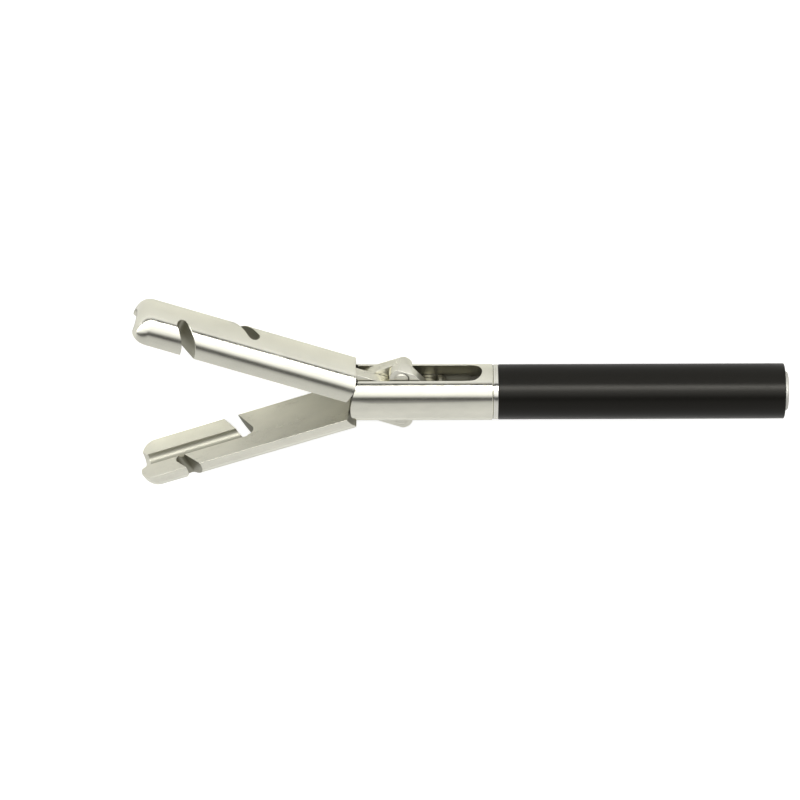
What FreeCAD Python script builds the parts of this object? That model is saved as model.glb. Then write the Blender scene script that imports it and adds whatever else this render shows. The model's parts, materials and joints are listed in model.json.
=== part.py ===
import FreeCAD, Part
import math
import os
from FreeCAD import Vector

# Laparoscopic knot tying forceps, working end: two D-section jaws with thread slots, a slotted
# clevis, a two-link toggle driven by a push rod, and the insulated tube that carries them.
# Millimetres. +X runs along the tool to the jaw tips, +Z is the axis of the jaw pivot, and the
# origin is on the tool axis at the rear end of the insulated tube. The jaws are drawn open.

# Shaft
tube_outer_radius = 2.1
tube_wall = 0.35
insulation_wall = 0.36
insulation_length = 25.4
sleeve_edge_chamfer = 0.06
ring_length = 0.45
ring_step = 0.01
ring_taper = 0.04
ring_front_chamfer = 0.13

# Clevis
clevis_radius = 2.5
clevis_edge_chamfer = 0.1
pivot_from_shoulder = 10.43
ear_reach = 2.21
ear_arc_radius = 4.08
slot_half_width = 1.02
slot_start_from_shoulder = 0.98
head_bore_radius = 1.6
head_bore_start_from_shoulder = 2.0
head_bore_end_before_pivot = 2.98
spigot_length = 6.0
spigot_bore_radius = 1.4
lock_pin_radius = 0.3
lock_pin_from_spigot_end = 1.4

# Jaws
jaw_open_angle = 21.5
jaw_length = 22.75
jaw_nose_radius = 1.25
jaw_face_gap = 0.04
hub_radius = 2.15
pivot_pin_radius = 0.8
plate_thickness = 0.955
plate_mid_gap = 0.03
heel_from_pivot = 1.72
neck_reach = 3.4
channel_radius = 0.7
tip_mouth_radius = 1.05
tip_mouth_depth = 0.5

# Thread slots: distances along the jaw from the pivot, and heights across it
front_slot_width = 0.95
front_slot_mouth_along = 17.63
front_slot_end_along = 18.85
front_slot_end_height = 1.1
rear_slot_width = 1.1
rear_slot_mouth_along = 14.1
rear_slot_end_along = 12.4
rear_slot_end_height = 0.0

# Linkage: the link pin is placed from the pivot while the jaws are open
link_pin_back = 2.30
link_pin_aside = 2.45
link_pin_radius = 0.47
rivet_head_radius = 0.6
rivet_head_height = 0.13
tang_end_radius = 1.0
tang_root_radius = 1.5
link_jaw_eye_radius = 1.12
link_rod_eye_radius = 0.85
drive_pin_radius = 0.45

# Drive rod and its fork-shaped head
rod_radius = 1.0
rod_rear_end = -0.3
rod_spigot_radius = 0.55
coupling_bore_radius = 0.5
coupling_bore_length = 3.0
head_radius = 1.55
head_fork_half_gap = 1.0
head_fork_reach = 0.9
head_floor_behind_pin = 0.95
head_straight_length = 0.3
head_taper_length = 0.45
head_rear_radius = 1.15

# Guides, seal and liner inside the tube
rear_bush_length = 3.4
rear_bush_proud = 0.36
rear_bush_chamfer = 0.2
front_bush_length = 3.0
seal_thickness = 0.34
seal_length = 0.36
seal_gland_length = 0.5
retainer_length = 1.0
liner_wall = 0.3
liner_gap = 0.45

# Clearances
running_clearance = 0.03
open_pivot_clearance = 0.07
open_pivot_bias = 0.048
shoulder_clearance = 0.13
trocar_clearance = 0.03

# Places that follow from the sizes
tube_inner_radius = tube_outer_radius - tube_wall
insulation_outer_radius = tube_outer_radius + insulation_wall
shoulder = insulation_length + ring_length
pivot_x = shoulder + pivot_from_shoulder
spigot_end = shoulder - spigot_length
plate_top = plate_mid_gap / 2 + plate_thickness
link_reach = math.hypot(link_pin_back, link_pin_aside)
link_angle_closed = math.degrees(math.atan2(link_pin_aside, link_pin_back)) - jaw_open_angle
link_pin_back_closed = link_reach * math.cos(math.radians(link_angle_closed))
link_pin_aside_closed = link_reach * math.sin(math.radians(link_angle_closed))
drive_pin_x = pivot_x - 2 * link_pin_back - open_pivot_bias
stroke = 2 * (link_pin_back_closed - link_pin_back)
guide_bore_radius = rod_radius + running_clearance
front_bush_end = shoulder + head_bore_start_from_shoulder
front_bush_start = front_bush_end - front_bush_length
retainer_end = front_bush_start - seal_gland_length
retainer_start = retainer_end - retainer_length
rear_bush_end = rear_bush_length - rear_bush_proud

AXIS_X = Vector(1, 0, 0)
AXIS_Y = Vector(0, 1, 0)
AXIS_Z = Vector(0, 0, 1)
ORIGIN = Vector(0, 0, 0)

# Longer than anything across the tool, for cuts that run right through
through = 3 * clevis_radius


def bar(radius, start_x, end_x):
    """A solid cylinder on the tool axis."""
    return Part.makeCylinder(radius, end_x - start_x, Vector(start_x, 0, 0), AXIS_X)


def sleeve(outer_radius, inner_radius, start_x, end_x):
    """A plain tube on the tool axis."""
    return bar(outer_radius, start_x, end_x).cut(bar(inner_radius, start_x, end_x))


def pin(radius, x, y, low_z, high_z):
    """A solid cylinder across the tool, parallel to the jaw pivot."""
    return Part.makeCylinder(radius, high_z - low_z, Vector(x, y, low_z), AXIS_Z)


def block(low_x, high_x, low_y, high_y, low_z, high_z):
    """A box between two corners."""
    return Part.makeBox(high_x - low_x, high_y - low_y, high_z - low_z, Vector(low_x, low_y, low_z))


def plate(points, low_z, high_z):
    """A flat plate with a straight-sided outline."""
    corners = [Vector(x, y, low_z) for x, y in points]
    face = Part.Face(Part.makePolygon(corners + corners[:1]))
    return face.extrude(Vector(0, 0, high_z - low_z))


def turned(points, round_start=None, round_radius=0.0):
    """A solid turned about the tool axis from (x, radius) points.

    The side that starts at round_start is a convex quarter round instead of a straight line.
    """
    edges = []
    for start, end in zip(points, points[1:] + points[:1]):
        a = Vector(start[0], start[1], 0)
        b = Vector(end[0], end[1], 0)
        if start == round_start:
            corner_x = start[0] if start[1] < end[1] else end[0]
            center = Vector(start[0] + end[0] - corner_x, min(start[1], end[1]), 0)
            outward = (a + b) * 0.5 - center
            middle = center + outward.normalize() * round_radius
            edges.append(Part.Arc(a, middle, b).toShape())
        else:
            edges.append(Part.LineSegment(a, b).toShape())
    return Part.Face(Part.Wire(edges)).revolve(ORIGIN, AXIS_X, 360)


def tangent_side(x, y, end_radius, root_radius, side):
    """Where a straight edge touches an eye round the origin and an eye at (x, y)."""
    lean = math.acos((root_radius - end_radius) / math.hypot(x, y))
    angle = math.atan2(y, x) + side * lean
    normal_x = math.cos(angle)
    normal_y = math.sin(angle)
    root = (root_radius * normal_x, root_radius * normal_y)
    return root, (x + end_radius * normal_x, y + end_radius * normal_y)


def layer_limits(layer):
    """Low and high z of a plate in the upper (+1) or lower (-1) half of the clevis's slot."""
    near = layer * plate_mid_gap / 2
    far = layer * plate_top
    return min(near, far), max(near, far)


def one_solid(shape):
    """The single solid of a finished piece, without leftover seams between its faces."""
    solids = shape.removeSplitter().Solids
    assert len(solids) == 1, "a piece fell into %d solids" % len(solids)
    return solids[0]


def opened(shape, side, x):
    """Takes a piece drawn for the closed tool on the +Y side to its open place about (x, 0)."""
    if side < 0:
        shape = shape.mirror(ORIGIN, AXIS_Y)
    shape.rotate(ORIGIN, AXIS_Z, side * jaw_open_angle)
    shape.translate(Vector(x, 0, 0))
    return shape


def export(name, shape):
    """Writes one piece to its own file."""
    assert shape.isValid(), name
    shape.exportStep("parts/%s.step" % name)


def lock_pin_bar():
    """The drilling for the two lock pins, right across the tube."""
    x = spigot_end + lock_pin_from_spigot_end
    return pin(lock_pin_radius, x, 0, -tube_outer_radius, tube_outer_radius)


def make_insulation_sleeve():
    """Shrunk black sleeve, cut square behind and eased a little at the front."""
    eased_x = insulation_length - sleeve_edge_chamfer
    eased_radius = insulation_outer_radius - sleeve_edge_chamfer
    rear = [(0, tube_outer_radius), (0, insulation_outer_radius)]
    edge = [(eased_x, insulation_outer_radius), (insulation_length, eased_radius)]
    return turned(rear + edge + [(insulation_length, tube_outer_radius)])


def make_outer_tube():
    """Steel tube from the rear end to the clevis's shoulder, drilled for the lock pins."""
    return sleeve(tube_outer_radius, tube_inner_radius, 0, shoulder).cut(lock_pin_bar())


def make_clevis_lock_pins():
    """Two short pins that lock the clevis's spigot in the tube, flush with the tube outside."""
    wall = sleeve(tube_outer_radius, spigot_bore_radius, spigot_end, shoulder)
    return Part.makeCompound(lock_pin_bar().common(wall).Solids)


def make_neck_ring():
    """Bright ring between the sleeve and the clevis, tapered a little and eased in front."""
    rear_radius = insulation_outer_radius - ring_step
    bend_radius = rear_radius - ring_taper
    bend_x = shoulder - ring_front_chamfer
    rear = [(insulation_length, tube_outer_radius), (insulation_length, rear_radius)]
    front = [(bend_x, bend_radius), (shoulder, bend_radius - ring_front_chamfer)]
    return turned(rear + front + [(shoulder, tube_outer_radius)])


def make_clevis():
    """Clevis turned from bar, with a spigot behind, then slotted and bored for the rod's head."""
    far = pivot_x + ear_reach
    arc_center_x = far - ear_arc_radius
    eased_x = shoulder + clevis_edge_chamfer
    eased_radius = clevis_radius - clevis_edge_chamfer
    spigot = [(spigot_end, 0), (spigot_end, tube_inner_radius), (shoulder, tube_inner_radius)]
    outside = [(shoulder, eased_radius), (eased_x, clevis_radius), (far, clevis_radius), (far, 0)]
    body = turned(spigot + outside)
    behind_arc = block(spigot_end, arc_center_x, -through, through, -through, through)
    body = body.common(behind_arc.fuse(pin(ear_arc_radius, arc_center_x, 0, -through, through)))

    slot_round_x = shoulder + slot_start_from_shoulder + slot_half_width
    slot_round = Part.makeCylinder(slot_half_width, 2 * through, Vector(slot_round_x, -through, 0), AXIS_Y)
    slot = block(slot_round_x, far, -through, through, -slot_half_width, slot_half_width)
    bore_step_x = shoulder + head_bore_start_from_shoulder
    head_bore = bar(head_bore_radius, bore_step_x, pivot_x - head_bore_end_before_pivot)
    spigot_bore = bar(spigot_bore_radius, spigot_end, bore_step_x)
    pivot_hole = pin(pivot_pin_radius, pivot_x, 0, -through, through)
    return one_solid(body.cut([slot, slot_round, head_bore, spigot_bore, pivot_hole, lock_pin_bar()]))


def make_pivot_pin():
    """Pivot pin, welded into both ears and polished flush with the outside of the clevis."""
    length = pin(pivot_pin_radius, pivot_x, 0, -through, through)
    return length.common(bar(clevis_radius, shoulder, pivot_x + ear_reach))


def thread_slot(width, mouth_along, end_along, end_height, edge):
    """A slanted slot with a round end, cut right through a jaw from the long edge at that height."""
    over = 1.3
    run_x = (mouth_along - end_along) * over
    run_z = (edge - end_height) * over
    half = width / 2 / math.hypot(run_x, run_z)
    aside_x = -run_z * half
    aside_z = run_x * half
    near = [(end_along + aside_x, end_height + aside_z), (end_along - aside_x, end_height - aside_z)]
    outside = [(x + run_x, z + run_z) for x, z in reversed(near)]
    corners = [Vector(x, -through, z) for x, z in near + outside]
    straight = Part.Face(Part.makePolygon(corners + corners[:1])).extrude(Vector(0, 2 * through, 0))
    round_end = Part.makeCylinder(width / 2, 2 * through, Vector(end_along, -through, end_height), AXIS_Y)
    return straight.fuse(round_end)


def rivet(clearance):
    """Rivet through tang and link of the closed +Y jaw, with a low conical head at each end."""
    shank_radius = link_pin_radius + clearance
    head_outer_radius = rivet_head_radius + clearance
    x = -link_pin_back_closed
    y = -link_pin_aside_closed
    shank = pin(shank_radius, x, y, -plate_top, plate_top)
    heads = []
    for end in (1, -1):
        root = Vector(x, y, end * (plate_top - rivet_head_height))
        outward = Vector(0, 0, end)
        heads.append(Part.makeCone(shank_radius, head_outer_radius, rivet_head_height, root, outward))
    return one_solid(shank.fuse(heads))


def make_lever(layer):
    """Neck, hub and tang of the closed +Y jaw: a plate in one half of the clevis's slot."""
    low_z, high_z = layer_limits(layer)
    x = -link_pin_back_closed
    y = -link_pin_aside_closed
    outer_root, outer_end = tangent_side(x, y, tang_end_radius, hub_radius, 1)
    inner_root, inner_end = tangent_side(x, y, tang_end_radius, tang_root_radius, -1)
    web = plate([(0, 0), outer_root, outer_end, inner_end, inner_root], low_z, high_z)
    hub = pin(hub_radius, 0, 0, low_z, high_z)
    tang_end = pin(tang_end_radius, x, y, low_z, high_z)
    neck = block(0, neck_reach, jaw_face_gap / 2, hub_radius, low_z, high_z)
    return web.fuse([hub, tang_end, neck]).common(bar(clevis_radius - trocar_clearance, -through, through))


def make_jaw(layer):
    """The closed +Y jaw about a pivot at the origin; layer says which half of the slot it uses."""
    nose_start = (jaw_length - jaw_nose_radius, clevis_radius)
    nose_end = (jaw_length, clevis_radius - jaw_nose_radius)
    round_bar = [(0, 0), (0, clevis_radius), nose_start, nose_end, (jaw_length, 0)]
    half = block(0, jaw_length, jaw_face_gap / 2, through, -through, through)
    blade = turned(round_bar, nose_start, jaw_nose_radius).common(half)

    # Open, the heel is square to the tool and the shoulder arc lies just off the clevis's ears
    behind_heel = block(-through, heel_from_pivot, -through, through, -through, through)
    arc_center_x = ear_reach - ear_arc_radius
    behind_shoulder = pin(ear_arc_radius + shoulder_clearance, arc_center_x, 0, -through, through)
    behind_blade = behind_heel.fuse(behind_shoulder)
    behind_blade.rotate(ORIGIN, AXIS_Z, -jaw_open_angle)
    jaw = blade.cut(behind_blade).fuse(make_lever(layer))

    channel = bar(channel_radius, rear_slot_end_along, jaw_length)
    mouth_root = Vector(jaw_length - tip_mouth_depth, 0, 0)
    mouth = Part.makeCone(channel_radius, tip_mouth_radius, tip_mouth_depth, mouth_root, AXIS_X)
    front_slot = thread_slot(front_slot_width, front_slot_mouth_along, front_slot_end_along,
                             front_slot_end_height, clevis_radius)
    rear_slot = thread_slot(rear_slot_width, rear_slot_mouth_along, rear_slot_end_along,
                            rear_slot_end_height, -clevis_radius)
    pivot_hole = pin(pivot_pin_radius + running_clearance, 0, 0, -through, through)
    return one_solid(jaw.cut([channel, mouth, front_slot, rear_slot, pivot_hole, rivet(0)]))


def make_link(layer):
    """The closed +Y link about a drive pin at the origin, trimmed so that it folds into the shaft."""
    low_z, high_z = layer_limits(layer)
    x = link_pin_back_closed
    y = link_pin_aside_closed
    left_root, left_end = tangent_side(x, y, link_jaw_eye_radius, link_rod_eye_radius, 1)
    right_root, right_end = tangent_side(x, y, link_jaw_eye_radius, link_rod_eye_radius, -1)
    rod_eye = pin(link_rod_eye_radius, 0, 0, low_z, high_z)
    jaw_eye = pin(link_jaw_eye_radius, x, y, low_z, high_z)
    link = plate([left_root, left_end, right_end, right_root], low_z, high_z).fuse([rod_eye, jaw_eye])
    link = link.common(bar(clevis_radius - trocar_clearance, -through, through))
    drive_hole = pin(drive_pin_radius + running_clearance, 0, 0, -through, through)
    rivet_hole = rivet(open_pivot_clearance).mirror(ORIGIN, AXIS_Y)
    rivet_hole.translate(Vector(2 * x, 0, 0))
    return one_solid(link.cut([drive_hole, rivet_hole]))


def make_rod_head():
    """Fork that holds the two links, tapered behind down to the rod."""
    floor_x = drive_pin_x - head_floor_behind_pin
    taper_x = floor_x - head_straight_length
    rear_x = taper_x - head_taper_length
    front_x = drive_pin_x + head_fork_reach
    rear = [(rear_x, 0), (rear_x, head_rear_radius), (taper_x, head_radius)]
    head = turned(rear + [(front_x, head_radius), (front_x, 0)])
    rounded = block(rear_x, drive_pin_x, -through, through, -through, through)
    rounded = rounded.fuse(pin(head_radius, front_x - head_radius, 0, -through, through))
    gap = block(floor_x, front_x, -through, through, -head_fork_half_gap, head_fork_half_gap)
    spigot_hole = bar(rod_spigot_radius, rear_x, floor_x)
    pin_hole = pin(drive_pin_radius, drive_pin_x, 0, -through, through)
    return one_solid(head.common(rounded).cut([gap, spigot_hole, pin_hole]))


def make_drive_pin():
    """Pin through the fork and both links, ground flush with the head."""
    length = pin(drive_pin_radius, drive_pin_x, 0, -through, through)
    return length.common(bar(head_radius, pivot_x - through, pivot_x))


def make_drive_rod():
    """Push rod with a spigot in front, swaged into the head, and a coupling bore behind."""
    floor_x = drive_pin_x - head_floor_behind_pin
    head_rear_x = floor_x - head_straight_length - head_taper_length
    rod = bar(rod_radius, rod_rear_end, head_rear_x).fuse(bar(rod_spigot_radius, head_rear_x, floor_x))
    return one_solid(rod.cut(bar(coupling_bore_radius, rod_rear_end, rod_rear_end + coupling_bore_length)))


def make_rear_guide_bush():
    """Steel bush in the rear end of the tube, standing a little proud with an eased edge."""
    start_x = -rear_bush_proud
    eased_x = start_x + rear_bush_chamfer
    rear = [(start_x, guide_bore_radius), (start_x, tube_inner_radius - rear_bush_chamfer)]
    side = [(eased_x, tube_inner_radius), (rear_bush_end, tube_inner_radius)]
    return turned(rear + side + [(rear_bush_end, guide_bore_radius)])


def make_bore_filler(start_x, end_x):
    """A plain ring that fills the clevis's spigot bore and guides the rod."""
    return sleeve(spigot_bore_radius, guide_bore_radius, start_x, end_x)


def make_rod_seal():
    """Soft square-cut ring round the rod, in the gland between the front bush and its retainer."""
    start_x = front_bush_start - (seal_gland_length + seal_length) / 2
    outer_radius = guide_bore_radius + seal_thickness
    return sleeve(outer_radius, guide_bore_radius, start_x, start_x + seal_length)


def make_rod_liner():
    """Thin sheath shrunk on the rod, clear of the rear bush and the clevis's spigot over the stroke."""
    start_x = rear_bush_end + stroke + liner_gap
    return sleeve(rod_radius + liner_wall, rod_radius, start_x, spigot_end - liner_gap)


os.makedirs("parts", exist_ok=True)

export("insulation_sleeve", make_insulation_sleeve())
export("outer_tube", make_outer_tube())
export("rear_guide_bush", make_rear_guide_bush())
export("neck_ring", make_neck_ring())
export("clevis", make_clevis())
export("clevis_lock_pins", make_clevis_lock_pins())
export("pivot_pin", make_pivot_pin())
export("front_guide_bush", make_bore_filler(front_bush_start, front_bush_end))
export("rod_seal", make_rod_seal())
export("seal_retainer", make_bore_filler(retainer_start, retainer_end))

export("drive_rod", make_drive_rod())
export("rod_liner", make_rod_liner())
export("rod_head", make_rod_head())
export("drive_pin", make_drive_pin())

# The upper jaw opens to -Y and its tang crosses to +Y in the upper half of the slot; the lower
# jaw is the other way round. Each link lies in the half that the tang beside it leaves free.
for name, side, layer in (("upper", -1, 1), ("lower", 1, -1)):
    export(name + "_jaw", opened(make_jaw(layer), side, pivot_x))
    export(name + "_jaw_link", opened(make_link(-layer), -side, drive_pin_x))
    export(name + "_link_pin", opened(rivet(0), side, pivot_x))

print("pivot at x = %.3f, drive pin at x = %.3f, stroke %.4f" % (pivot_x, drive_pin_x, stroke))
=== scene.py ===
import bmesh
import bpy
import json
import math
from mathutils import Matrix, Vector
from mathutils.bvhtree import BVHTree
from mathutils.geometry import barycentric_transform

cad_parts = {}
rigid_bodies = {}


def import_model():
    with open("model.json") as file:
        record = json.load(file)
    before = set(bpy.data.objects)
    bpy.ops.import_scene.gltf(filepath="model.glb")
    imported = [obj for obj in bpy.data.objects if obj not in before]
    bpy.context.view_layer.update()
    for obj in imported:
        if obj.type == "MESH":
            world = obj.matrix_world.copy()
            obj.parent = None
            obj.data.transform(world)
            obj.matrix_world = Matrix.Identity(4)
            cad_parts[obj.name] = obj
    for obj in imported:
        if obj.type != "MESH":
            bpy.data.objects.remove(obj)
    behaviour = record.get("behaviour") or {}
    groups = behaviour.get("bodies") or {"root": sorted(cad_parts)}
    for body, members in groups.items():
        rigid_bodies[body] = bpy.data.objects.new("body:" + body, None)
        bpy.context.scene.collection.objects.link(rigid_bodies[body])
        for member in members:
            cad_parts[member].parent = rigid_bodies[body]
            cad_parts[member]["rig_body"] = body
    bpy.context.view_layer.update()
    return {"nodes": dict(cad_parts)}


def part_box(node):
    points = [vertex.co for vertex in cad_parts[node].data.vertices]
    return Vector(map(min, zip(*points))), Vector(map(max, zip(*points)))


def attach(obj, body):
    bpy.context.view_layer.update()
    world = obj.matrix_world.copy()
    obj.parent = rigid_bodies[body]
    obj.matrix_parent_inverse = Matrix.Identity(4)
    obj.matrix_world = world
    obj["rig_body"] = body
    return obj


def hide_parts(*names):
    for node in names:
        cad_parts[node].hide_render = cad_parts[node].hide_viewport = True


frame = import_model()

# The camera looks down on the tool from the upper jaw's side, rolled so that the jaws point left.
# A long lens far away keeps the perspective as flat as it is in the photograph.
MM = 0.001
camera_elevation = math.radians(47.5)
camera_roll = math.radians(-0.2)
camera_distance = 330 * MM
camera_target = Vector((34.1, 0.514, 0.468)) * MM

camera_back = Vector((0, -math.cos(camera_elevation), math.sin(camera_elevation)))
roll = Matrix.Rotation(camera_roll, 3, camera_back)
camera_right = roll @ Vector((-1, 0, 0))
camera_up = camera_back.cross(camera_right)
camera_data = bpy.data.cameras.new("camera")
camera_data.lens = 167
camera_data.sensor_width = 36
camera_data.clip_start = 1 * MM
camera_data.clip_end = 10
camera = bpy.data.objects.new("camera", camera_data)
bpy.context.scene.collection.objects.link(camera)
camera.matrix_world = Matrix((camera_right, camera_up, camera_back)).transposed().to_4x4()
camera.location = camera_target + camera_back * camera_distance
bpy.context.scene.camera = camera
bpy.context.scene.view_settings.view_transform = "Standard"


# The light is a long softbox that runs beside the tool, brightest along its low edge, with a dark
# gap above and below it, under a pale dome. Polished rounds show it as one bright band between
# two dark lines, and the black sleeve shows it as a soft streak.
def link(tree, source, target):
    """Joins an output socket to an input socket."""
    tree.links.new(source, target)


def math_node(tree, operation, first, second=None):
    """A Math node whose inputs are sockets or plain numbers."""
    node = tree.nodes.new("ShaderNodeMath")
    node.operation = operation
    for socket, value in zip(node.inputs, (first, second)):
        if isinstance(value, (int, float)):
            socket.default_value = value
        elif value is not None:
            link(tree, value, socket)
    return node.outputs["Value"]


def ramp_node(tree, factor, stops):
    """A Color Ramp from (position, grey or colour) stops."""
    node = tree.nodes.new("ShaderNodeValToRGB")
    link(tree, factor, node.inputs["Fac"])
    elements = node.color_ramp.elements
    elements.remove(elements[1])
    for index, (position, value) in enumerate(stops):
        element = elements[0] if index == 0 else elements.new(position)
        element.position = position
        colour = (value, value, value) if isinstance(value, (int, float)) else value
        element.color = (*colour, 1)
    return node.outputs["Color"]


# Radiance of the studio by angle, in degrees round the tool's length: 0 is level with the camera's
# side, 90 is overhead and 180 is level with the far side.
studio = [
    (-90, 0.82),
    (9.5, 0.85),
    (15, 0.02),
    (23, 0.02),
    (26, 8),
    (33, 8),
    (41, 1.35),
    (55, 1.2),
    (63, 0.9),
    (73, 0.1),
    (81, 0.1),
    (88, 0.45),
    (96, 0.58),
    (140, 0.7),
    (180, 0.7),
]
world = bpy.data.worlds.new("studio")
bpy.context.scene.world = world
world.use_nodes = True
sky = world.node_tree
direction = sky.nodes.new("ShaderNodeTexCoord")
parts = sky.nodes.new("ShaderNodeSeparateXYZ")
link(sky, direction.outputs["Generated"], parts.inputs["Vector"])
towards_camera = math_node(sky, "MULTIPLY", parts.outputs["Y"], -1)
angle = math_node(sky, "ARCTAN2", parts.outputs["Z"], towards_camera)
turn = math_node(sky, "MULTIPLY_ADD", angle, 1 / (2 * math.pi))
turn.node.inputs[2].default_value = 0.5
brightest = max(value for degrees, value in studio)
studio_stops = [((degrees + 180) / 360, value / brightest) for degrees, value in studio]
studio_light = ramp_node(sky, turn, studio_stops)
background = sky.nodes["Background"]
link(sky, studio_light, background.inputs["Color"])
background.inputs["Strength"].default_value = brightest
white = sky.nodes.new("ShaderNodeBackground")
rays = sky.nodes.new("ShaderNodeLightPath")
choose = sky.nodes.new("ShaderNodeMixShader")
link(sky, rays.outputs["Is Camera Ray"], choose.inputs["Fac"])
link(sky, background.outputs["Background"], choose.inputs[1])
link(sky, white.outputs["Background"], choose.inputs[2])
link(sky, choose.outputs["Shader"], sky.nodes["World Output"].inputs["Surface"])

# The tool lies on a wide pale tabletop, which shows pure white to the camera except where the
# tool's own soft shadow falls on it.
floor_z = -2.5 * MM
floor_half = 1.5
floor_glow_strength = 0.62
floor_mesh = bpy.data.meshes.new("tabletop")
floor_corners = [(x * floor_half, y * floor_half, floor_z) for x, y in ((-1, -1), (1, -1), (1, 1), (-1, 1))]
floor_mesh.from_pydata(floor_corners, [], [(0, 1, 2, 3)])
floor = bpy.data.objects.new("tabletop", floor_mesh)
bpy.context.scene.collection.objects.link(floor)
floor_material = bpy.data.materials.new("tabletop")
floor_material.use_nodes = True
floor_tree = floor_material.node_tree
floor_surface = floor_tree.nodes["Principled BSDF"]
floor_surface.inputs["Base Color"].default_value = (0.72, 0.72, 0.7, 1)
floor_surface.inputs["Roughness"].default_value = 0.9
floor_surface.inputs["Emission Color"].default_value = (1, 1, 1, 1)
floor_rays = floor_tree.nodes.new("ShaderNodeLightPath")
floor_glow = math_node(floor_tree, "MULTIPLY", floor_rays.outputs["Is Camera Ray"], floor_glow_strength)
link(floor_tree, floor_glow, floor_surface.inputs["Emission Strength"])
floor_mesh.materials.append(floor_material)


# Insulation sleeve: a black polyolefin tube shrunk on the steel tube. The heat has softened its
# front edge, and its rear end is cut square with the tube.
def plain_material(name, colour, metallic, roughness):
    """A material whose constants sit on its own shader, with the shader returned beside it."""
    material = bpy.data.materials.new(name)
    material.use_nodes = True
    shader = material.node_tree.nodes["Principled BSDF"]
    shader.inputs["Base Color"].default_value = (*colour, 1)
    shader.inputs["Metallic"].default_value = metallic
    shader.inputs["Roughness"].default_value = roughness
    return material, material.node_tree, shader


def noise(tree, size, stretch=(1, 1, 1), lean=0.0, detail=2.0):
    """Noise on Object coordinates: grains of the given size, drawn out by stretch and turned about Z."""
    place = tree.nodes.new("ShaderNodeTexCoord")
    mapping = tree.nodes.new("ShaderNodeMapping")
    mapping.vector_type = "TEXTURE"
    mapping.inputs["Rotation"].default_value = (0, 0, lean)
    mapping.inputs["Scale"].default_value = [size * along for along in stretch]
    texture = tree.nodes.new("ShaderNodeTexNoise")
    texture.inputs["Scale"].default_value = 1
    texture.inputs["Detail"].default_value = detail
    link(tree, place.outputs["Object"], mapping.inputs["Vector"])
    link(tree, mapping.outputs["Vector"], texture.inputs["Vector"])
    return texture.outputs["Fac"]


noise_low, noise_high = 0.3, 0.7


def spread(tree, factor, low, high):
    """Maps a noise's middle range to values between low and high."""
    node = tree.nodes.new("ShaderNodeMapRange")
    node.inputs["From Min"].default_value = noise_low
    node.inputs["From Max"].default_value = noise_high
    node.inputs["To Min"].default_value = low
    node.inputs["To Max"].default_value = high
    link(tree, factor, node.inputs["Value"])
    return node.outputs["Result"]


def tint(tree, factor, first, second):
    """A colour that drifts between two colours with a noise."""
    return ramp_node(tree, factor, [(noise_low, first), (noise_high, second)])


def relief(tree, shader, height, depth):
    """Bump of the given depth in metres from a height between 0 and 1."""
    bump = tree.nodes.new("ShaderNodeBump")
    bump.inputs["Distance"].default_value = depth
    link(tree, height, bump.inputs["Height"])
    link(tree, bump.outputs["Normal"], shader.inputs["Normal"])


def rounded_outline(corners, steps=4):
    """Points of a closed outline from (x, radius, ease) corners, each eased by an arc."""
    points = []
    for index, (x, radius, ease) in enumerate(corners):
        here = Vector((x, radius))
        if not ease:
            points.append(here)
            continue
        to_last = (Vector(corners[index - 1][:2]) - here).normalized()
        to_next = (Vector(corners[(index + 1) % len(corners)][:2]) - here).normalized()
        half = to_last.angle(to_next) / 2
        centre = here + (to_last + to_next).normalized() * ease / math.sin(half)
        start = here + to_last * ease / math.tan(half) - centre
        sweep = start.angle_signed(here + to_next * ease / math.tan(half) - centre)
        for step in range(steps + 1):
            points.append(centre + Matrix.Rotation(-sweep * step / steps, 2) @ start)
    return points


def placed(name, mesh):
    """A new object at the origin for a finished mesh."""
    piece = bpy.data.objects.new(name, mesh)
    bpy.context.scene.collection.objects.link(piece)
    return piece


sharp_angle = math.radians(32)


def turned(name, corners, around=128):
    """A hollow turned piece about the tool axis, from the (x, radius, ease) corners of its wall."""
    outline = rounded_outline(corners)
    mesh = bpy.data.meshes.new(name)
    shape = bmesh.new()
    rings = []
    for index in range(around):
        turn_angle = 2 * math.pi * index / around
        across = Vector((0, math.cos(turn_angle), math.sin(turn_angle)))
        rings.append([shape.verts.new(Vector((x, 0, 0)) + across * radius) for x, radius in outline])
    for ring, following in zip(rings, rings[1:] + rings[:1]):
        for side in range(len(outline)):
            beyond = (side + 1) % len(outline)
            shape.faces.new((ring[side], ring[beyond], following[beyond], following[side]))
    bmesh.ops.recalc_face_normals(shape, faces=shape.faces)
    shape.to_mesh(mesh)
    shape.free()
    mesh.shade_smooth()
    mesh.set_sharp_from_angle(angle=sharp_angle)
    return placed(name, mesh)


def finish_piece(piece, materials, node):
    """Gives a piece its materials, and lets it stand for a CAD node on that node's body."""
    for material in materials:
        piece.data.materials.append(material)
    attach(piece, frame["nodes"][node]["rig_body"])
    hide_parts(node)


sleeve_low, sleeve_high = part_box("insulation_sleeve")
sleeve_radius = sleeve_high.y
sleeve_wall = 0.36 * MM
sleeve_bore_ease = 0.02 * MM
sleeve_rear_ease = 0.05 * MM
sleeve_front_ease = 0.1 * MM
sleeve_corners = [
    (sleeve_low.x, sleeve_radius - sleeve_wall, sleeve_bore_ease),
    (sleeve_low.x, sleeve_radius, sleeve_rear_ease),
    (sleeve_high.x, sleeve_radius, sleeve_front_ease),
    (sleeve_high.x, sleeve_radius - sleeve_wall, sleeve_bore_ease),
]
sleeve = turned("shrink_sleeve", sleeve_corners)
sleeve_black, tree, shader = plain_material("black_insulation", (0.002, 0.0018, 0.0013), 0, 0.28)
skin = noise(tree, 0.16 * MM, stretch=(3, 1, 1), detail=3)
link(tree, spread(tree, skin, 0.29, 0.32), shader.inputs["Roughness"])
relief(tree, shader, skin, 0.0004 * MM)
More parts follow.
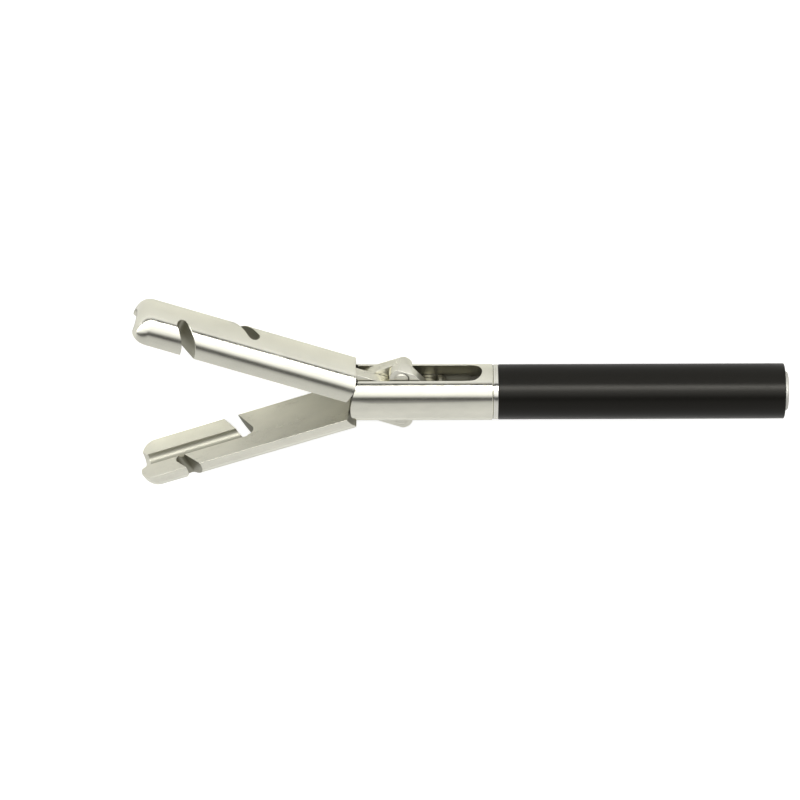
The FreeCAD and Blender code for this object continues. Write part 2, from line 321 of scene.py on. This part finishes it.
shader.inputs["Specular IOR Level"].default_value = 0.28
shader.inputs["Specular Tint"].default_value = (1, 0.97, 0.88, 1)
finish_piece(sleeve, [sleeve_black], "insulation_sleeve")


# Outer tube: drawn stainless steel under the sleeve, drilled for two ground pins that lock the
# clevis in it. Only its ends can be seen, inside the sleeve's.
def steel(name, colour, roughness, lay=(12, 1, 1), lean=0.0, line=0.05, depth=0.0006):
    """Stainless steel whose fine lines run along the long side of lay, with line and depth in mm."""
    material, tree, shader = plain_material(name, colour, 1, roughness)
    lines = noise(tree, line * MM, stretch=lay, lean=lean, detail=3)
    clouds = noise(tree, 1.6 * MM, stretch=(2, 1, 1), lean=lean, detail=3)
    uneven = math_node(tree, "ADD", spread(tree, lines, -0.03, 0.03), spread(tree, clouds, -0.02, 0.02))
    link(tree, math_node(tree, "ADD", uneven, roughness), shader.inputs["Roughness"])
    paler = [min(1, channel * 1.05) for channel in colour]
    darker = [channel * 0.95 for channel in colour]
    link(tree, tint(tree, clouds, darker, paler), shader.inputs["Base Color"])
    relief(tree, shader, lines, depth * MM)
    return material


def dress(node, material):
    """Gives a carried-over CAD node its finish."""
    mesh = frame["nodes"][node].data
    mesh.materials.clear()
    mesh.materials.append(material)


dress("outer_tube", steel("tube_steel", (0.74, 0.72, 0.62), 0.24))
dress("clevis_lock_pins", steel("lock_pin_steel", (0.7, 0.68, 0.59), 0.26, lay=(1, 1, 12)))

# Rear guide bush: turned steel, pressed into the tube's rear end with an eased lip left proud. It
# is fine turned and left matt, so that it shows as a soft pale edge.
bush_low, bush_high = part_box("rear_guide_bush")
bush_bore = 1.03 * MM
bush_radius = 1.75 * MM
bush_corners = [
    (bush_low.x, bush_bore, 0.05 * MM),
    (bush_low.x, bush_radius, 0.22 * MM),
    (bush_high.x, bush_radius, 0),
    (bush_high.x, bush_bore, 0),
]
bush = turned("rear_bush", bush_corners)
bush_steel = steel("bush_steel", (0.62, 0.61, 0.57), 0.6, lay=(1, 8, 8), depth=0.001)
finish_piece(bush, [bush_steel], "rear_guide_bush")

# Neck ring: a bright polished steel ring trapped between the sleeve and the clevis's shoulder,
# with a fine turned line near its front edge.
ring_low, ring_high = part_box("neck_ring")
ring_radius = 2.45 * MM
ring_bore = 2.1 * MM
line_x = ring_low.x + 0.2 * MM
line_width = 0.05 * MM
line_depth = 0.03 * MM
ring_corners = [
    (ring_low.x, ring_bore, 0),
    (ring_low.x, ring_radius, 0.04 * MM),
    (line_x, ring_radius, 0.01 * MM),
    (line_x + line_width / 2, ring_radius - line_depth, 0),
    (line_x + line_width, ring_radius, 0.01 * MM),
    (ring_high.x, ring_radius, 0.12 * MM),
    (ring_high.x, ring_bore, 0),
]
ring = turned("neck_collar", ring_corners)
ring_steel = steel("ring_steel", (0.9, 0.89, 0.82), 0.1, lay=(1, 8, 8))
finish_piece(ring, [ring_steel], "neck_ring")


# Clevis: stainless steel, turned from bar, then slotted and bored for the rod's head. The outside
# is polished along its length, and the slot is left dull from the cutter. The slot's walls and the
# ears' ends are painted darker than the steel is, as painted shade in the slot and in the gap to the
# jaws. The pivot pin is welded into both ears and polished away with them.
same_point = 0.0005 * MM
flat_angle = math.radians(0.4)
corner_angle = math.radians(25)
tight_ease = 0.08


def eased_copy(node, name, width, finish_of, tight_place=None, trim=None):
    """A copy of a CAD node with its sharp corners eased.

    finish_of(centre, normal) is the number of a face's material, corners where
    tight_place(centre) holds are eased so little that it doesn't show, and trim(point) is how far
    a point is ground back.
    """
    source = frame["nodes"][node].data
    shape = bmesh.new()
    shape.from_mesh(source)
    bmesh.ops.remove_doubles(shape, verts=shape.verts, dist=same_point)
    bmesh.ops.dissolve_limit(shape, angle_limit=flat_angle, verts=shape.verts, edges=shape.edges)
    shape.normal_update()
    for face in shape.faces:
        face.material_index = finish_of(face.calc_center_median(), face.normal)
    for vert in shape.verts if trim else ():
        vert.co += trim(vert.co)
    ease = shape.edges.layers.float.new("bevel_weight_edge")
    for edge in shape.edges:
        if edge.calc_face_angle() > corner_angle:
            shortest = min(near.calc_length() for vert in edge.verts for near in vert.link_edges)
            tight = tight_place is not None and tight_place((edge.verts[0].co + edge.verts[1].co) / 2)
            edge[ease] = tight_ease if tight else min(1, 0.45 * shortest / (width * MM))
    surface = BVHTree.FromBMesh(shape)
    sharp_mesh = bpy.data.meshes.new(name + "_sharp")
    shape.to_mesh(sharp_mesh)
    shape.free()
    model = placed(name + "_model", sharp_mesh)
    bevel = model.modifiers.new("eased corners", "BEVEL")
    bevel.width = width * MM
    bevel.segments = 1
    bevel.limit_method = "WEIGHT"
    bevel.use_clamp_overlap = False
    mesh = bpy.data.meshes.new_from_object(model.evaluated_get(bpy.context.evaluated_depsgraph_get()))
    mesh.name = name
    bpy.data.objects.remove(model)
    # At an acute corner the modifier throws a point off the surface, so every point is put back.
    for vert in mesh.vertices:
        vert.co = surface.find_nearest(vert.co)[0]
    shade_true(mesh, source)
    return placed(name, mesh)


def shade_true(mesh, source):
    """Takes the exact direction of the CAD surface at every point of an eased copy.

    Each point lies on one surface only, so an eased corner is shaded as a round between two.
    """
    corners = source.corner_normals
    points = [vert.co for vert in source.vertices]
    faces = [tuple(face.vertices) for face in source.polygons]
    search = BVHTree.FromPolygons(points, faces)
    directions = []
    for vert in mesh.vertices:
        nearest, _, index, _ = search.find_nearest(vert.co)
        triangle = [points[corner] for corner in faces[index]]
        slopes = [corners[loop].vector for loop in source.polygons[index].loop_indices]
        directions.append(barycentric_transform(nearest, *triangle, *slopes).normalized())
    mesh.shade_smooth()
    mesh.normals_split_custom_set_from_vertices(directions)


pivot_low, pivot_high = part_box("pivot_pin")
pivot_x = (pivot_low.x + pivot_high.x) / 2
clevis_radius = 2.5 * MM
ear_radius = 4.08 * MM
shoulder_x = pivot_x + 2.21 * MM - ear_radius
pivot_weld_radius = 0.85 * MM
outside, slot_wall, ear_end = 0, 1, 2


def clevis_face(centre, normal):
    """Everything that is not on the outside of the clevis was left dull by the cutter, and is painted
    darker as painted shade: the slot's walls, and the ears' ends, darkest, for the gap to the jaws.
    """
    from_shoulder = Vector((centre.x - shoulder_x, centre.y, 0))
    if from_shoulder.length > ear_radius - 0.1 * MM and normal.dot(from_shoulder.normalized()) > 0.9:
        return ear_end
    return slot_wall if math.hypot(centre.y, centre.z) < clevis_radius - 0.12 * MM else outside


def barely_eased(centre):
    """The weld round the pivot pin is polished flush, and the ears' ends are left crisp."""
    at_ear_end = math.hypot(centre.x - shoulder_x, centre.y) > ear_radius - 0.02 * MM
    return at_ear_end or math.hypot(centre.x - pivot_x, centre.y) < pivot_weld_radius


clevis_steel = steel("clevis_steel", (0.88, 0.865, 0.75), 0.13)
# The slot's steel is painted darker than steel is, as painted shade inside the slot; the ears' ends are
# painted near black, as painted shade in the gap to the jaws.
slot_painted_shade_steel = steel("slot_painted_shade_steel", (0.26, 0.25, 0.19), 0.45, lay=(1, 1, 1))
ear_end_painted_shade_steel = steel("ear_end_painted_shade_steel", (0.08, 0.077, 0.06), 0.5, lay=(1, 1, 12))
clevis = eased_copy("clevis", "slotted_clevis", 0.05, clevis_face, barely_eased)
finish_piece(clevis, [clevis_steel, slot_painted_shade_steel, ear_end_painted_shade_steel], "clevis")
dress("pivot_pin", clevis_steel)


# Rod and what guides it: a ground steel rod in a thin white sheath, a dark filled-polymer bush in
# the clevis, a soft square-cut ring, and a steel ring that keeps it in its gland.
# The rod's steel is painted dark, as painted shade on the rod and its fork deep in the clevis's slot.
rod_steel = steel("rod_steel", (0.3, 0.29, 0.235), 0.42)
dress("drive_rod", rod_steel)
dress("seal_retainer", steel("retainer_steel", (0.7, 0.68, 0.6), 0.3, lay=(1, 8, 8)))
polymer, tree, shader = plain_material("guide_polymer", (0.05, 0.047, 0.038), 0, 0.5)
relief(tree, shader, noise(tree, 0.1 * MM, stretch=(1, 6, 6)), 0.002 * MM)
dress("front_guide_bush", polymer)
rubber, tree, shader = plain_material("seal_rubber", (0.03, 0.03, 0.03), 0, 0.6)
relief(tree, shader, noise(tree, 0.1 * MM), 0.002 * MM)
dress("rod_seal", rubber)
liner, tree, shader = plain_material("liner_polymer", (0.85, 0.85, 0.83), 0, 0.4)
relief(tree, shader, noise(tree, 0.2 * MM), 0.002 * MM)
dress("rod_liner", liner)


# Rod head: a turned and milled steel fork on the rod's end that holds both links on a drive pin,
# which is ground flush with it.
def one_finish(centre, normal):
    """A piece with the same finish all over."""
    return 0


# The fork takes the rod's darkened steel, as painted shade in the slot.
head = eased_copy("rod_head", "rod_fork", 0.04, one_finish)
finish_piece(head, [rod_steel], "rod_head")
# The drive pin's steel is painted darker too, as painted shade in the slot.
dress("drive_pin", steel("drive_pin_painted_shade_steel", (0.4, 0.39, 0.33), 0.35, lay=(1, 1, 12)))

# Jaws: two stainless steel half rounds, polished outside and ground flat inside, with a thread
# channel down the middle of the inner face. Two slanted thread slots are milled through each, and
# a hub and a crossing tang are left on its end for the pivot and the link. The slots' walls, the
# heel and the channel are painted darker than the steel is, as painted shade in them.
jaw_lean = math.radians(21.5)
jaw_length = 22.75 * MM
nose_radius = 1.25 * MM
heel_x = pivot_x + 1.72 * MM
shoulder_radius = ear_radius + 0.13 * MM
thread_slots = [
    (Vector((18.85, 1.1)) * MM, Vector((17.63, 2.5)) * MM, 0.95 / 2 * MM),
    (Vector((12.4, 0)) * MM, Vector((14.1, -2.5)) * MM, 1.1 / 2 * MM),
]
plate_top = 0.96 * MM
channel_radius = 0.7 * MM
channel_end = 12 * MM
ground_back = 0.32 * MM
near_enough = 0.03 * MM
polished, ground, milled_and_shaded, drilled_and_shaded = 0, 1, 2, 3


def in_thread_slot(point):
    """Whether a point of the jaw's side view lies on the wall of one of its slots."""
    for end, mouth, half_width in thread_slots:
        run = (mouth - end).normalized()
        along = max(0, (point - end).dot(run))
        if abs((point - end - run * along).length - half_width) < near_enough:
            return True
    return False


def at_heel(centre):
    """The jaw's heel and shoulder are left crisp, close to the ends of the clevis's ears."""
    from_ears = math.hypot(centre.x - shoulder_x, centre.y) - shoulder_radius
    return abs(centre.x - heel_x) < near_enough or abs(from_ears) < near_enough


def jaw_trim_of(side):
    """How the jaw's shoulder is ground back along the jaw, which widens its gap to the ears."""
    along_jaw = Vector((math.cos(side * jaw_lean), math.sin(side * jaw_lean), 0))

    def trim(point):
        from_ears = math.hypot(point.x - shoulder_x, point.y) - shoulder_radius
        if abs(from_ears) > near_enough or abs(point.z) < plate_top:
            return Vector((0, 0, 0))
        share = (1.9 * MM - abs(point.y)) / MM
        return along_jaw * ground_back * max(0, min(1, share))
    return trim


def jaw_face_of(side):
    """How each face of the jaw on one side was finished; the slot walls, heel and channel take darker
    steels as painted shade.
    """
    def finish(centre, normal):
        untwist = Matrix.Rotation(-side * jaw_lean, 3, "Z")
        local = untwist @ (centre - Vector((pivot_x, 0, 0)))
        facing = untwist @ normal
        radius = math.hypot(local.y, local.z)
        # The heel and shoulder take the dark slot finish, as painted shade for the gap to the ears.
        if at_heel(centre):
            return milled_and_shaded
        if abs(facing.y) < 0.5 and in_thread_slot(Vector((local.x, local.z))):
            return milled_and_shaded
        if radius < channel_radius + near_enough and local.x > channel_end:
            return drilled_and_shaded
        if radius > clevis_radius - 0.06 * MM or local.x > jaw_length - nose_radius and radius > 1.1 * MM:
            return polished
        return ground
    return finish


for name, side in (("upper", -1), ("lower", 1)):
    lean = side * jaw_lean
    jaw_steel = steel(name + "_jaw_steel", (0.88, 0.865, 0.75), 0.14, lean=lean)
    face_steel = steel(name + "_face_steel", (0.8, 0.785, 0.68), 0.3, lean=lean)
    # The slot walls' and the channel's steels are rough and also painted darker, as painted shade in the
    # slots and the channel.
    slot_wall_painted_shade_steel = steel(name + "_slot_painted_shade_steel", (0.38, 0.37, 0.3), 0.42, lay=(1, 1, 1))
    channel_painted_shade_steel = steel(name + "_channel_painted_shade_steel", (0.42, 0.41, 0.34), 0.45, lean=lean)
    finishes = [jaw_steel, face_steel, slot_wall_painted_shade_steel, channel_painted_shade_steel]
    node = name + "_jaw"
    jaw = eased_copy(node, node + "_blade", 0.04, jaw_face_of(side), at_heel, jaw_trim_of(side))
    finish_piece(jaw, finishes, node)

# Links: flat steel bars between the fork and the tangs, blanked and tumbled, which leaves their
# edges well rounded and their faces a soft satin.
for name in ("upper", "lower"):
    link_steel = steel(name + "_link_steel", (0.8, 0.785, 0.69), 0.34, lay=(1, 1, 1), line=0.09)
    bar = eased_copy(name + "_jaw_link", name + "_toggle_link", 0.08, one_finish)
    finish_piece(bar, [link_steel], name + "_jaw_link")


# Link rivets: a steel pin through each tang and link, upset at both ends into the countersinks
# and ground flush. The tool's edge leaves a fine ring on each head.
rivet_sides = 48
shank_radius = 0.47 * MM
head_radius = 0.6 * MM
head_height = 0.13 * MM
head_ease = 0.02 * MM
head_crown = 0.004 * MM
mark_radius = 0.45 * MM
mark_width = 0.05 * MM
mark_depth = 0.03 * MM


def rivet_head_mesh():
    """One head, open where it grows out of the shank, from its root at z = 0 up to its face."""
    face = head_height - head_crown
    profile = [
        (shank_radius, 0),
        (head_radius, face - head_ease),
        (head_radius - head_ease, face),
        (mark_radius + mark_width, face),
        (mark_radius + mark_width / 2, face - mark_depth),
        (mark_radius, face),
        (mark_radius * 0.6, face + head_crown),
    ]
    shape = bmesh.new()
    last = None
    for radius, z in profile:
        around = [2 * math.pi * index / rivet_sides for index in range(rivet_sides)]
        loop = [shape.verts.new((radius * math.cos(a), radius * math.sin(a), z)) for a in around]
        for index in range(rivet_sides if last else 0):
            beyond = (index + 1) % rivet_sides
            shape.faces.new((last[index], last[beyond], loop[beyond], loop[index]))
        last = loop
    shape.faces.new(last)
    mesh = bpy.data.meshes.new("rivet_head")
    shape.to_mesh(mesh)
    shape.free()
    return mesh


def rivet_tree():
    """Sets the head on both ends of a shank: the same rule for every rivet of the tool."""
    tree = bpy.data.node_groups.new("rivet", "GeometryNodeTree")
    sockets = tree.interface
    sockets.new_socket(name="Head", in_out="INPUT", socket_type="NodeSocketGeometry")
    for label in ("Shank radius", "Shank length"):
        sockets.new_socket(name=label, in_out="INPUT", socket_type="NodeSocketFloat")
    sockets.new_socket(name="Sides", in_out="INPUT", socket_type="NodeSocketInt")
    sockets.new_socket(name="Steel", in_out="INPUT", socket_type="NodeSocketMaterial")
    sockets.new_socket(name="Rivet", in_out="OUTPUT", socket_type="NodeSocketGeometry")
    given = tree.nodes.new("NodeGroupInput").outputs

    shank = tree.nodes.new("GeometryNodeMeshCylinder")
    shank.fill_type = "NONE"
    link(tree, given["Sides"], shank.inputs["Vertices"])
    link(tree, given["Shank radius"], shank.inputs["Radius"])
    link(tree, given["Shank length"], shank.inputs["Depth"])

    low_end = tree.nodes.new("ShaderNodeCombineXYZ")
    link(tree, math_node(tree, "MULTIPLY", given["Shank length"], -0.5), low_end.inputs["Z"])
    up = tree.nodes.new("ShaderNodeCombineXYZ")
    link(tree, given["Shank length"], up.inputs["Z"])
    ends = tree.nodes.new("GeometryNodeMeshLine")
    ends.mode = "OFFSET"
    ends.inputs["Count"].default_value = 2
    link(tree, low_end.outputs["Vector"], ends.inputs["Start Location"])
    link(tree, up.outputs["Vector"], ends.inputs["Offset"])

    number = tree.nodes.new("GeometryNodeInputIndex")
    turned_over = math_node(tree, "SUBTRACT", 1, number.outputs["Index"])
    flip = tree.nodes.new("ShaderNodeCombineXYZ")
    link(tree, math_node(tree, "MULTIPLY", turned_over, math.pi), flip.inputs["X"])
    heads = tree.nodes.new("GeometryNodeInstanceOnPoints")
    link(tree, ends.outputs["Mesh"], heads.inputs["Points"])
    link(tree, given["Head"], heads.inputs["Instance"])
    link(tree, flip.outputs["Vector"], heads.inputs["Rotation"])

    whole = tree.nodes.new("GeometryNodeJoinGeometry")
    link(tree, shank.outputs["Mesh"], whole.inputs["Geometry"])
    link(tree, heads.outputs["Instances"], whole.inputs["Geometry"])
    real = tree.nodes.new("GeometryNodeRealizeInstances")
    link(tree, whole.outputs["Geometry"], real.inputs["Geometry"])
    merged = tree.nodes.new("GeometryNodeMergeByDistance")
    merged.inputs["Distance"].default_value = same_point
    link(tree, real.outputs["Geometry"], merged.inputs["Geometry"])
    coat = tree.nodes.new("GeometryNodeSetMaterial")
    link(tree, merged.outputs["Geometry"], coat.inputs["Geometry"])
    link(tree, given["Steel"], coat.inputs["Material"])
    link(tree, coat.outputs["Geometry"], tree.nodes.new("NodeGroupOutput").inputs["Rivet"])
    return tree


rivet_maker = rivet_tree()
socket_of = {item.name: item.identifier for item in rivet_maker.interface.items_tree}
for name in ("upper", "lower"):
    low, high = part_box(name + "_link_pin")
    pin_steel = steel(name + "_pin_steel", (0.76, 0.745, 0.65), 0.32, lay=(1, 1, 1), line=0.07)
    rivet = placed(name + "_rivet_model", rivet_head_mesh())
    maker = rivet.modifiers.new("rivet", "NODES")
    maker.node_group = rivet_maker
    maker[socket_of["Shank radius"]] = shank_radius
    maker[socket_of["Shank length"]] = high.z - low.z - 2 * head_height
    maker[socket_of["Sides"]] = rivet_sides
    maker[socket_of["Steel"]] = pin_steel
    made = rivet.evaluated_get(bpy.context.evaluated_depsgraph_get())
    mesh = bpy.data.meshes.new_from_object(made)
    bpy.data.objects.remove(rivet)
    mesh.transform(Matrix.Translation((low + high) / 2))
    mesh.shade_smooth()
    mesh.set_sharp_from_angle(angle=sharp_angle)
    finish_piece(placed(name + "_link_rivet", mesh), [], name + "_link_pin")
